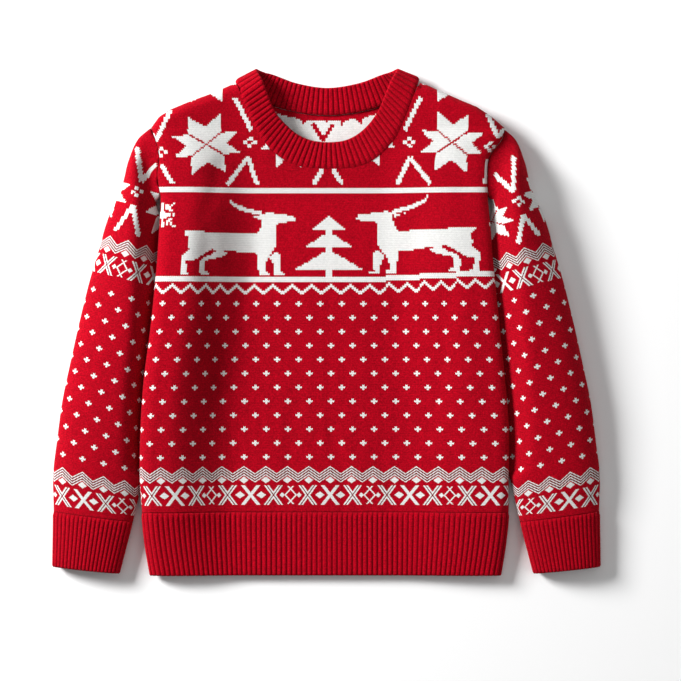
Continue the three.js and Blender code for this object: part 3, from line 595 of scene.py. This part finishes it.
def panel(face, top_of):
    wales, shares = wale_shares(face)
    x = mix(SHOULDER_LEFT, SHOULDER_RIGHT, shares)
    top = top_of(x)
    shoulder = np.where(face == "front", (x < -89) | (x > 92), (x < -84.5) | (x > 86.5))
    count = int((top.max() - HEM_TOP) / COURSE) + 2
    level = np.minimum(HEM_TOP + 0.3 + COURSE * np.arange(count)[:, None], top[None, :])
    below_edge = np.where(shoulder[None, :], top[None, :] - level, 99.0)
    points = panel_points(face, np.broadcast_to(shares, level.shape), level, below_edge)
    keep = (level[1:, :-1] - level[:-1, :-1] > 0.02) | (level[1:, 1:] - level[:-1, 1:] > 0.02)
    courses = (level - HEM_TOP - 0.3) / COURSE
    centre = 1.07 - wales[0]
    jacquard = knit_material(face + " jacquard", [(centre, centre, 26.2)])
    sides = [jacquard] if face == "front" else [jacquard, knit_material("jacquard reverse", reverse=True, groove_shade_depth=0.35)]
    chart = body_chart(face, points, wales)
    return knit_cloth(face + "_panel_knit", points, wales - wales[0], courses, keep, chart, sides, 2.2, face == "front")


def front_top(x):
    return np.interp(x, FRONT_EDGE["x"], FRONT_EDGE["y"])


def back_top(x):
    inside = (x > BACK_NECK["x"][0]) & (x < BACK_NECK["x"][-1])
    return np.where(inside, curve(BACK_NECK, "x", "y", x), front_top(x))


front = panel("front", front_top)
finish_piece(front, "front_panel")

# Back panel. The same cut with a shallower neck. Its reverse, where the yarns swap, shows inside the neck.
back = panel("back", back_top)
finish_piece(back, "back_panel")

# Hem ribs, front and back. Each is a welt of raised ribs knitted on below its panel, drawn in a little, with a
# rounded lower edge. The back one is pressed flat where it rests.
HEM_BOTTOM, RIB_HEIGHT, HEM_RIB = -252.5, 1.1, 5.05

# Rib grooves: high between the ribs, where the yarn group darkens the colour as painted shade.
rib_groove_shade, given, result = new_group("rib groove shade", {"Stitch Map": ("vector", None)}, {"Groove": "value"})
place = put(rib_groove_shade, "ShaderNodeSeparateXYZ", {0: given["Stitch Map"]}).outputs
phase = calc(rib_groove_shade, "FRACT", calc(rib_groove_shade, "MULTIPLY", place["X"], 0.5))
off_ridge = calc(rib_groove_shade, "ABSOLUTE", calc(rib_groove_shade, "MULTIPLY_ADD", phase, 2.0, -1.0))
rib_groove_shade.links.new(calc(rib_groove_shade, "POWER", off_ridge, 3.5), result["Groove"])

ribbing = knit_material("rib knit", groove_shade_depth=0.72)
for node in list(ribbing.node_tree.nodes):
    if node.type == "GROUP" and node.node_tree == yarn:
        tree = ribbing.node_tree
        grooves = put(tree, "ShaderNodeGroup", node_tree=rib_groove_shade)
        stitches = node.inputs["Groove"].links[0].from_socket
        tree.links.new(put(tree, "ShaderNodeUVMap", uv_map="stitches").outputs[0], grooves.inputs["Stitch Map"])
        # Painted shade in the rib grooves, joined with half the stitch grooves' painted shade.
        joined = calc(tree, "MAXIMUM", calc(tree, "MULTIPLY", stitches, 0.5), grooves.outputs["Groove"])
        tree.links.new(joined, node.inputs["Groove"])


def rib_profile(turns):
    return 1 - np.abs(2 * (turns % 1) - 1) ** 3.2


def grid_normals(points, loop=False):
    if loop:
        u = np.roll(points, -1, axis=1) - np.roll(points, 1, axis=1)
    else:
        u = np.gradient(points, axis=1)
    v = np.gradient(points, axis=0)
    normal = np.cross(u, v)
    return normal / np.maximum(np.linalg.norm(normal, axis=-1, keepdims=True), 1e-9)


def even_shares(point_at, count):
    fine = 0.5 - 0.5 * np.cos(np.linspace(0, np.pi, 4001))
    points = point_at(fine)
    length = np.concatenate([[0], np.cumsum(np.linalg.norm(np.diff(points, axis=0), axis=1))])
    return length[-1], np.interp(np.linspace(0, length[-1], count), length, fine)


def hem(face, height, across_rib, courses):
    def section(share):
        return panel_points(face, share, np.full_like(share, (HEM_BOTTOM + HEM_TOP) / 2), np.full_like(share, 99.0))

    ribs = round(even_shares(section, 2)[0] / HEM_RIB)
    _, shares = even_shares(section, ribs * across_rib + 1)
    turns = np.arange(len(shares)) / across_rib
    level = mix(HEM_BOTTOM + 0.3, HEM_TOP + 0.28, np.linspace(0, 1, courses))[:, None] * np.ones(len(shares))
    points = panel_points(face, np.broadcast_to(shares, level.shape), level, np.full_like(level, 99.0))
    up = 1 if face == "front" else -1
    edge = np.clip((level - HEM_BOTTOM) / 2.2, 0, 1)
    started = 1 - smooth(HEM_TOP - 4, HEM_TOP + 0.2, level)
    relief = height * rib_profile(turns)[None, :] * started - 0.9 * (1 - np.sqrt(1 - (1 - edge) ** 2))
    normal = grid_normals(points) * up
    at = panel_x(shares, -221)
    normal[:, (at < side_edge("left", -221) + 1) | (at > side_edge("right", -221) - 1), 2] = 0
    points = points + normal * relief[..., None]
    points[..., 2] = np.maximum(points[..., 2], 0)
    keep = np.ones((courses - 1, len(shares) - 1), bool)
    courses_at = (level - HEM_BOTTOM) / COURSE
    blank = np.zeros((courses, len(shares)))
    return knit_cloth("hem_" + face + "_ribs", points, turns * 2, courses_at, keep, blank, [ribbing], 1.9, face == "front")


hem_front = hem("front", RIB_HEIGHT, 8, 37)
finish_piece(hem_front, "hem_rib_front")
hem_back = hem("back", 0.0, 4, 13)
finish_piece(hem_back, "hem_rib_back")

# Sleeves. Jacquard knit tubes, narrower towards the wrist, set into the armholes. They lie beside the body as
# soft ovals, and the inner edge of each is tucked under the body's raised side.
CLEAR, TUCK_HEIGHT, BESIDE_BODY = 3.0, 7.5, 4.0
SET_OUT = {"left": 6.5, "right": 5.0}


def sleeve_form(side, rounds, drops):
    out = OUT[side]
    turn = rounds * 2 * np.pi
    across = (1 - np.cos(turn)) / 2
    column = {name: curve(SLEEVE, "drop", name, drops) for name in SLEEVE if name != "drop"}
    slope = np.radians(column["slope"])
    x = out * (SHOULDER_OUT + column["out"] - across * column["width"] * np.cos(slope))
    y = SHOULDER_POINT - drops - across * column["width"] * np.sin(slope)
    seam_y = mix(SHOULDER_POINT, UNDERARM, across)
    seam_x = side_edge(side, seam_y) + out * 0.6
    first = np.radians(SLEEVE["slope"][0])
    start_x = out * (SHOULDER_OUT - across * SLEEVE["width"][0] * np.cos(first))
    start_y = SHOULDER_POINT - across * SLEEVE["width"][0] * np.sin(first)
    bent = np.maximum(0, 1 - drops / 30) ** 2
    away = SET_OUT[side] * across * smooth(0, 6, drops) * (1 - smooth(60, 140, drops))
    x, y = x + (seam_x - start_x) * bent + out * away, y + (seam_y - start_y) * bent
    upper = np.sin(turn) >= 0
    arch = np.abs(np.sin(turn))
    beside = out * (x - side_edge(side, y))
    cover = roll(np.maximum(0, BESIDE_BODY - beside), SIDE_ROLL[side])
    slope_up = 0.95 * np.maximum(0, beside - BESIDE_BODY)
    free = smooth(TUCK_ENDS - 30, TUCK_ENDS, drops)
    lid = mix(np.maximum(face_height("back", x, y, cover) - CLEAR, TUCK_HEIGHT) + slope_up, 2 * column["height"], free)
    tucked = (1 - smooth(-6, 10, beside)) * (1 - free)
    fold = mix(column["fold"], np.minimum(5.5, lid), tucked)
    under = fold * (1 - np.sin(np.minimum(1, arch / 0.75) * np.pi / 2))
    top, ceiling = mix(fold, column["height"], arch), np.maximum(lid, fold * 0.9)
    over = np.minimum(top, ceiling) - np.maximum(5 - np.abs(top - ceiling), 0) ** 2 / 20
    lying = np.where(upper, np.where(drops < WRIST_DROP, over, top), under)
    parted = 0.5 * roll(np.maximum(0, np.minimum(seam_y - UNDERARM, SHOULDER_POINT - seam_y)), 9)
    at_seam = np.where(upper, face_height("front", seam_x, seam_y, parted), face_height("back", seam_x, seam_y, parted))
    height = mix(at_seam, lying, smooth(0, mix(34, 9, across), drops))
    below = TUCK_HEIGHT * (1 - np.clip(3 * np.sin(turn), -1, 1)) / 2
    beneath = (1 - smooth(UNDERARM - 5, UNDERARM + 1, y)) * (1 - smooth(-3, 3, beside))
    return np.stack([x, y, mix(height, np.minimum(height, lid - below), beneath)], axis=-1)


# The upper and under side of a sleeve as surfaces to lay rows of stitches on.
def sleeve_surface(side, upper, first, last):
    rounds = np.linspace(0, 0.5, 61) if upper else np.linspace(0, -0.5, 61)
    drops = np.linspace(first, last, 420)
    grid = np.broadcast_to(rounds, (len(drops), len(rounds))), np.broadcast_to(drops[:, None], (len(drops), len(rounds)))
    points = sleeve_form(side, *grid).reshape(-1, 3)
    n = len(rounds)
    corner = (np.arange(len(drops) - 1)[:, None] * n + np.arange(n - 1)).ravel()
    faces = np.stack([corner, corner + 1, corner + n + 1, corner + n], axis=1)
    return BVHTree.FromPolygons(points.tolist(), faces.tolist())


def surface_height(tree, x, y, upper):
    ray = Vector((0, 0, -1 if upper else 1))
    hit = tree.ray_cast(Vector((x, y, 200 if upper else -200)), ray)[0]
    return (hit or tree.find_nearest(Vector((x, y, 8)))[0]).z


# How far a row of stitches slopes down towards the body, by drop. Rows end at the armhole or at the inner fold.
ROW_SLOPE = {"drop": (0, 40, 90, 150, 250, 330, 360, 382, 437), "slope": (24, 19, 15, 14, 13, 12, 10, 7.5, 6)}


def sleeve_rows(side, drops, upper):
    out = OUT[side]
    seam_y = np.linspace(SHOULDER_POINT + 6, UNDERARM, 40)
    fold = sleeve_form(side, np.full(140, 0.5), np.linspace(0.5, CUFF_DROP, 140))
    rim_x = np.concatenate([side_edge(side, seam_y) + out * 0.6, fold[:, 0], fold[-1:, 0]])
    rim_y = np.concatenate([seam_y, fold[:, 1], [-400]])
    tree = sleeve_surface(side, upper, 0, drops.max() + 0.01)
    lines = []
    for drop in drops:
        slope = math.radians(float(curve(ROW_SLOPE, "drop", "slope", drop)))
        start = np.array([out * (SHOULDER_OUT + float(curve(SLEEVE, "drop", "out", drop))), SHOULDER_POINT - drop])
        way = np.array([-out * math.cos(slope), -math.sin(slope)])
        side_of_row = (rim_x - start[0]) * way[1] - (rim_y - start[1]) * way[0]
        along = (rim_x - start[0]) * way[0] + (rim_y - start[1]) * way[1]
        cross = np.nonzero((side_of_row[:-1] * side_of_row[1:] <= 0) & (along[1:] > -1))[0]
        i = cross[0] if len(cross) else len(along) - 2
        t = side_of_row[i] / (side_of_row[i] - side_of_row[i + 1] + 1e-9)
        reach = max(0.4, along[i] + t * (along[i + 1] - along[i]))
        ease = np.concatenate([[0], 1 - np.cos(np.linspace(0.04, np.pi / 2, 44))]) * reach
        line = np.array([[*(start + way * s), 0] for s in ease])
        line[:, 2] = [surface_height(tree, x, y, upper) for x, y, _ in line]
        lines.append(line)
    return lines


def smooth_rows(grid, rounds):
    for _ in range(rounds):
        middle = grid[1:-1, 1:-1, 2]
        around = grid[:-2, 1:-1, 2] + grid[2:, 1:-1, 2] + grid[1:-1, :-2, 2] + grid[1:-1, 2:, 2]
        grid[1:-1, 1:-1, 2] = 0.5 * middle + 0.125 * around
    return grid


# Lays evenly spaced wales along each line, counted from the outer fold.
def lay_wales(lines, spacing, count):
    points, wales = [], []
    for line in lines:
        length = np.concatenate([[0], np.cumsum(np.linalg.norm(np.diff(line, axis=0), axis=1))])
        at = np.minimum(np.arange(count) * spacing, length[-1])
        points.append(np.stack([np.interp(at, length, line[:, k]) for k in range(3)], axis=1))
        wales.append(at / spacing)
    return np.array(points), np.array(wales)


def line_lengths(lines):
    return [float(np.linalg.norm(np.diff(line, axis=0), axis=1).sum()) for line in lines]


# The drops of a sleeve's rows, from the cuff up, one course apart.
def course_drops(start, end, course):
    drops, drop = [], start
    while drop > end:
        drops.append(drop)
        slope = math.radians(float(curve(ROW_SLOPE, "drop", "slope", drop)))
        spread = float(curve(SLEEVE, "drop", "out", drop + 1) - curve(SLEEVE, "drop", "out", drop - 1)) / 2
        drop -= course / (spread * math.sin(slope) + math.cos(slope))
    return np.array(drops + [end])


# Where a place on the photographed side falls on a sleeve's chart: wales from the outer fold, courses from the cuff.
def chart_place(side, drops, lines, x, y):
    out = OUT[side]
    slope = np.radians(curve(ROW_SLOPE, "drop", "slope", drops))
    dx = x * out - (SHOULDER_OUT + curve(SLEEVE, "drop", "out", drops))
    dy = y - (SHOULDER_POINT - drops)
    row = int(np.argmin(np.abs(dx * np.sin(slope) - dy * np.cos(slope))))
    along = -dx[row] * math.cos(slope[row]) - dy[row] * math.sin(slope[row])
    line = lines[row]
    plan = np.concatenate([[0], np.cumsum(np.linalg.norm(np.diff(line[:, :2], axis=0), axis=1))])
    length = np.concatenate([[0], np.cumsum(np.linalg.norm(np.diff(line, axis=0), axis=1))])
    beyond = max(0.0, along - plan[-1]) + min(0.0, along)
    return (float(np.interp(along, plan, length)) + beyond) / WALE, row


# What shows of each sleeve's yoke, and one peak, lattice and seed to which its bands and seeds are set.
SLEEVE_FIGURES = {
    "left": {
        "strokes": [((138.4, 148.9), (143.7, 183.7)), ((143.7, 183.7), (157.1, 165.6)), ((136, 207), (118, 232)),
                    ((136, 207), (141, 238))],
        "stars": [((108, 190), 24, 27), ((171, 209), 22, 29)],
        "flower": (139.3, 194), "tilt": 14, "peak": (133.2, 243.6), "lattice": (126.5, 272), "seed": (115, 289),
    },
    "right": {
        "strokes": [((512.5, 157.6), (511.2, 194)), ((493.4, 175.8), (511.2, 194)), ((521.1, 217.4), (515.9, 245.1)),
                    ((521.1, 217.4), (537.2, 237.3))],
        "stars": [((543, 197), 21, 24), ((490.5, 222.6), 20, 21)],
        "flower": (516.3, 203.5), "tilt": -22, "peak": (519.5, 250.0), "lattice": (533.7, 276), "seed": (530.7, 298.8),
    },
}


def sleeve(side):
    drops = course_drops(WRIST_DROP - 0.3, 0.4, COURSE)
    over, under = sleeve_rows(side, drops, True), sleeve_rows(side, drops, False)
    top_count = int(max(line_lengths(over)) / WALE) + 2
    low_count = int(max(line_lengths(under)) / WALE) + 2
    top, top_wales = lay_wales(over, WALE, top_count)
    low, low_wales = lay_wales(under, WALE, low_count)
    top, low = smooth_rows(top, 6), smooth_rows(low, 2)
    points = np.concatenate([low[:, :0:-1], top], axis=1)
    wales = np.concatenate([-low_wales[:, :0:-1], top_wales], axis=1) + low_count
    fold = low_count - 1
    gap = np.abs(np.diff(wales, axis=1))
    keep = (gap[1:] > 0.01) | (gap[:-1] > 0.01)

    def at(u, v):
        wale, row = chart_place(side, drops, over, u - 326.5, 322.5 - v)
        return fold + wale, row

    figures = SLEEVE_FIGURES[side]
    u, v = stitch_places(points)
    chart = np.zeros(points.shape[:2])
    seeds(chart, int(at(*figures["seed"])[0]), 33, 13)
    shown = stamped(u, v, figures["flower"], FLOWER, (2.0, 1.65))
    for start, end in figures["strokes"]:
        shown |= stroke(u, v, start, end)
    for centre, wide, high in figures["stars"]:
        shown |= star(u, v, centre, wide, high, figures["tilt"])
    chart[:-1, :-1][shown] = 1
    peak_wale, peak_row = at(*figures["peak"])
    lattice_wale = at(*figures["lattice"])[0]
    bands = [(fold + 18, fold + 18, 26.2), (peak_wale, lattice_wale + 18.35, peak_row + 0.5)]
    jacquard = knit_material(side + " sleeve jacquard", bands)
    courses = np.broadcast_to(np.arange(len(drops))[:, None], wales.shape).astype(float)
    return knit_cloth("sleeve_" + side + "_knit", points, wales, courses, keep, chart, [jacquard], 2.2, side == "left")


for side in OUT:
    finish_piece(sleeve(side), "sleeve_" + side)

# Cuffs. Ribbed tubes knitted on at the wrists, drawn in, with a rounded lower edge.
CUFF_RIB = 4.1


def cuff(side):
    drops = np.linspace(WRIST_DROP - 0.25, CUFF_DROP - 0.2, 33)[::-1]
    over, under = sleeve_rows(side, drops, True), sleeve_rows(side, drops, False)
    grids = []
    for lines, height, up in ((over, RIB_HEIGHT, 1), (under, 0.0, -1)):
        across = 8 * round(np.mean(line_lengths(lines)) / CUFF_RIB)
        points = []
        for line in lines:
            length = np.concatenate([[0], np.cumsum(np.linalg.norm(np.diff(line, axis=0), axis=1))])
            at = np.linspace(0, length[-1], across + 1)
            points.append(np.stack([np.interp(at, length, line[:, k]) for k in range(3)], axis=1))
        grids.append((smooth_rows(np.array(points), 2), np.arange(across + 1) / 8, height))
    (top, top_turns, _), (low, low_turns, _) = grids
    points = np.concatenate([low[:, :0:-1], top[:, :-1]], axis=1)
    turns = np.concatenate([-low_turns[:0:-1], top_turns[:-1]]) + len(low_turns)
    upper = np.concatenate([np.zeros(len(low_turns) - 1), np.ones(len(top_turns) - 1)])
    normal = grid_normals(points, loop=True)
    centre = points.mean(axis=1, keepdims=True)
    normal *= np.sign(np.sum(normal * (points - centre), axis=-1).mean())
    level = np.abs(np.linspace(CUFF_DROP - WRIST_DROP, 0, 33)[:, None] - (CUFF_DROP - WRIST_DROP))
    edge = np.clip(level / 2.2, 0, 1)
    started = 1 - smooth(CUFF_DROP - WRIST_DROP - 4, CUFF_DROP - WRIST_DROP, level)
    relief = RIB_HEIGHT * rib_profile(turns)[None, :] * upper * started - 0.9 * (1 - np.sqrt(1 - (1 - edge) ** 2))
    points = points + normal * relief[..., None]
    points[..., 2] = np.maximum(points[..., 2], 0)
    points = np.concatenate([points, points[:, :1]], axis=1)
    turns = np.append(turns, turns[-1] + 0.125) * 2
    courses = np.broadcast_to(level / COURSE, points.shape[:2])
    keep = np.ones((len(drops) - 1, points.shape[1] - 1), bool)
    blank = np.zeros(points.shape[:2])
    return knit_cloth("cuff_" + side + "_ribs", points, turns, courses, keep, blank, [ribbing], 1.9, side == "left")


for side in OUT:
    finish_piece(cuff(side), "cuff_" + side)

# Neckband. One strip of ribs folded double and sewn round the neck. At the front it lies face up and at the
# back on the surface, so the neck shows it from outside in front and from inside behind.
NECKBAND = {
    "seam_x": (-90, -84.7, -77.5, -69.5, -58, -42, -23.5, 1, 26, 45, 59.5, 70.5, 79.5, 86.7, 92, 86.5, 68, 38.5,
               1, -36.5, -66, -84.5),
    "seam_y": (239, 224.8, 208.5, 191.5, 174.8, 161.8, 154.8, 153.1, 154.3, 160.8, 172.8, 186.8, 206.3, 225.3, 241,
               235.5, 221.8, 211.3, 206.8, 211.3, 221.8, 233.8),
    "rim_x": (-68, -63.2, -56.5, -50, -40.5, -28.5, -14, 1.5, 18, 31.5, 42.5, 51.5, 58.2, 64, 69, 62, 53.5, 31.5,
              1, -29, -51.5, -61),
    "rim_y": (250.4, 240.5, 222.5, 208.5, 197.5, 187.5, 181.5, 179.8, 181.5, 188, 198, 211, 226.5, 241, 250.4, 249.6,
              247, 239, 234.5, 239, 247, 249.6),
    "height": (11, 19.6, 18.4, 16, 13, 10.8, 9.6, 9.2, 9.6, 10.8, 13, 15.4, 18.2, 19.6, 11, 3.2, 2.9, 2.9, 2.9,
               2.9, 2.9, 3.2),
    "facing": (0.5, 1, 1, 1, 1, 1, 1, 1, 1, 1, 1, 1, 1, 1, 0.5, 0, 0, 0, 0, 0, 0, 0),
}
NECK_RIB, BAND_HALF = 5.0, 1.8


def closed_curve(column, at):
    values = np.array(column, float)
    n = len(values)
    i = np.floor(at * n).astype(int)
    t = at * n - i
    p = [values[(i + k) % n] for k in (-1, 0, 1, 2)]
    a, b = (p[2] - p[0]) / 2, (p[3] - p[1]) / 2
    rise = p[2] - p[1]
    return p[1] + a * t + (3 * rise - 2 * a - b) * t**2 + (a + b - 2 * rise) * t**3


def neckband():
    fine = np.linspace(0, 1, 3001)
    at = {name: closed_curve(NECKBAND[name], fine) for name in NECKBAND}
    middle = np.stack([(at["seam_x"] + at["rim_x"]) / 2, (at["seam_y"] + at["rim_y"]) / 2, at["height"]], axis=1)
    length = np.concatenate([[0], np.cumsum(np.linalg.norm(np.diff(middle, axis=0), axis=1))])
    ribs = round(length[-1] / NECK_RIB)
    shares = np.interp(np.linspace(0, length[-1], ribs * 8 + 1), length, fine)
    at = {name: closed_curve(NECKBAND[name], shares) for name in NECKBAND}
    seam = np.stack([at["seam_x"], at["seam_y"], at["height"]], axis=1)
    rim = np.stack([at["rim_x"], at["rim_y"], at["height"]], axis=1)
    u = np.gradient((seam + rim) / 2, axis=0)
    u[0] = u[-1] = u[0] + u[-1]
    normal = np.cross(u, rim - seam)
    normal /= np.linalg.norm(normal, axis=1, keepdims=True)
    outer = [(level, 1.0) for level in np.linspace(0.0, 0.93, 14)]
    turned = [(0.93 + 0.065 * math.sin(a), math.cos(a)) for a in np.linspace(0.35, math.pi - 0.35, 6)]
    inner = [(level, -1.0) for level in np.linspace(0.93, 0.0, 14)]
    faces_up = np.clip(at["facing"], 0, 1)
    ribbed = rib_profile(np.arange(len(shares)) / 8)
    rows, courses = [], []
    for level, face in outer + turned + inner:
        shown = np.where(face > 0, faces_up > 0.25, np.abs(2 * faces_up - 1))
        started = smooth(-0.02, 0.12, level)
        swell = (mix(1.1, BAND_HALF, started) + RIB_HEIGHT * ribbed * shown * abs(face) * started) * face
        rows.append(mix(seam, rim, level) + normal * swell[:, None])
        courses.append(np.full(len(shares), (level if face > 0 else 2 - level) * 27 / COURSE))
    rows.append(rows[0])
    courses.append(courses[-1] + 1.5)
    points = np.array(rows)
    points[..., 2] = np.maximum(points[..., 2], 0.05)
    turns = np.arange(len(shares)) / 4
    keep = np.ones((len(rows) - 1, len(shares) - 1), bool)
    return knit_cloth("neckband_ribs", points, turns, np.array(courses), keep, np.zeros(points.shape[:2]), [ribbing], 0, True)


band_piece = neckband()
band_piece.modifiers.clear()
finish_piece(band_piece, "neckband")
